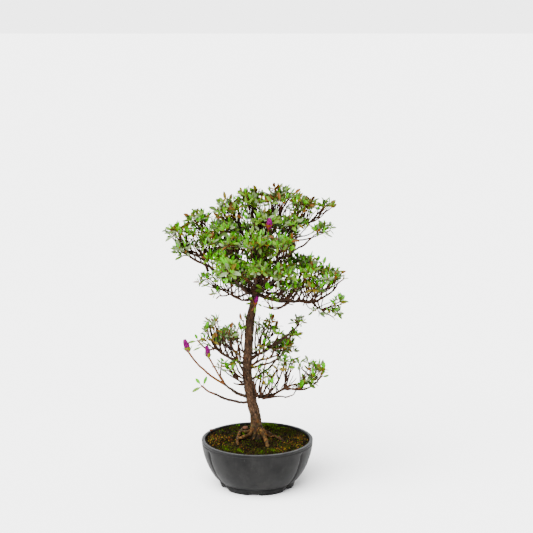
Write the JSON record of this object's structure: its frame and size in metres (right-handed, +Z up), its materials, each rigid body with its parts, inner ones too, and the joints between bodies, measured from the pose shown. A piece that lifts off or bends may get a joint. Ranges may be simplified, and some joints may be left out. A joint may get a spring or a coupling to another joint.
{
  "type": "bonsai azalea in a round bowl",
  "caption": "Small evergreen azalea trained as a bonsai: a bowed bare trunk with a wide open crown, lower branches and a few buds, in a round lobed bowl",
  "frame": {"origin": "centre of the bounding box at the height of the ground that the bowl's feet stand on", "axes": "+Z up along the trunk; +X to the right of a viewer who faces the plant as in the picture, +Y away from that viewer"},
  "size_m": [0.2554, 0.1796, 0.4308],
  "materials": {
    "pot": "satin dark grey, worn lighter on the lip",
    "soil": "moist dark soil with moss",
    "bark": "fine flaking brown bark",
    "foliage": "small leathery leaves"
  },
  "bodies": {
    "root": {"pot": "pot", "soil": "soil", "trunk": "bark", "leader": "bark", "bough_left": "bark", "bough_right_low": "bark", "bough_front": "bark", "bough_front_left": "bark", "bough_front_right": "bark", "bough_low_left": "bark", "bough_back_left": "bark", "bough_back": "bark", "bough_back_right": "bark", "bough_left_upper": "bark", "bough_top_left": "bark", "bough_top_right": "bark", "bough_right_tip": "bark", "bough_right_mid": "bark", "bough_right_drop": "bark", "bough_under": "bark", "low_left_bough": "bark", "whip_foot": "bark", "whip_low_foot": "bark", "low_right_upper": "bark", "low_right_inner": "bark", "low_right_mid": "bark", "low_right_bough": "bark", "low_right_outer": "bark", "low_back_left": "bark", "low_back_right": "bark", "foliage_crown_top": "foliage", "foliage_top_left": "foliage", "foliage_top_right": "foliage", "foliage_right_tip": "foliage", "foliage_left": "foliage", "foliage_left_upper": "foliage", "foliage_front_left": "foliage", "foliage_front": "foliage", "foliage_front_right": "foliage", "foliage_low_left": "foliage", "foliage_right_low": "foliage", "foliage_right_middle": "foliage", "foliage_right_drop": "foliage", "foliage_under": "foliage", "foliage_back_left": "foliage", "foliage_back": "foliage", "foliage_back_right": "foliage", "foliage_trunk_shoot": "foliage", "foliage_low_left_top": "foliage", "foliage_low_left_small": "foliage", "foliage_whips": "foliage", "foliage_whip_low": "foliage", "foliage_low_right_top": "foliage", "foliage_low_right_middle": "foliage", "foliage_low_right_front": "foliage", "foliage_low_right_foot": "foliage", "foliage_low_right_end": "foliage", "foliage_low_back_left_mass": "foliage", "foliage_low_back_right_mass": "foliage"}
  },
  "joints": []
}
